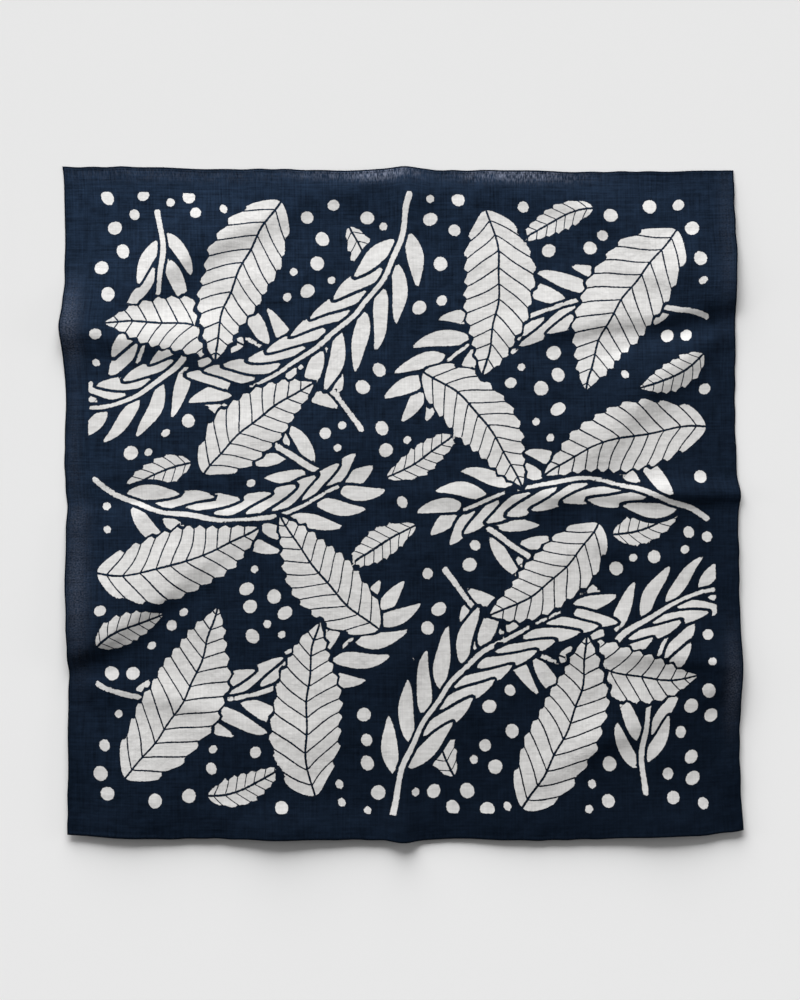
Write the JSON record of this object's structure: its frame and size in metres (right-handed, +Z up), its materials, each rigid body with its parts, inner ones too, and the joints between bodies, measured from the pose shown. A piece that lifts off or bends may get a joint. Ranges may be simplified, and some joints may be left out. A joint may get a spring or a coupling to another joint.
{
  "type": "bandana",
  "caption": "Square printed cotton bandana lying open, with a narrow turned hem, soft creases and lifted edges.",
  "frame": {"origin": "on the surface that the cloth lies on, under the middle of its outline", "axes": "+Z up, +Y towards the back edge, +X towards the right edge"},
  "size_m": [0.5461, 0.5401, 0.0114],
  "materials": {
    "printed_cotton": "matt plain-weave cotton, deep navy with an off-white one-sided print"
  },
  "bodies": {
    "root": {"bandana": "printed_cotton"}
  },
  "joints": []
}
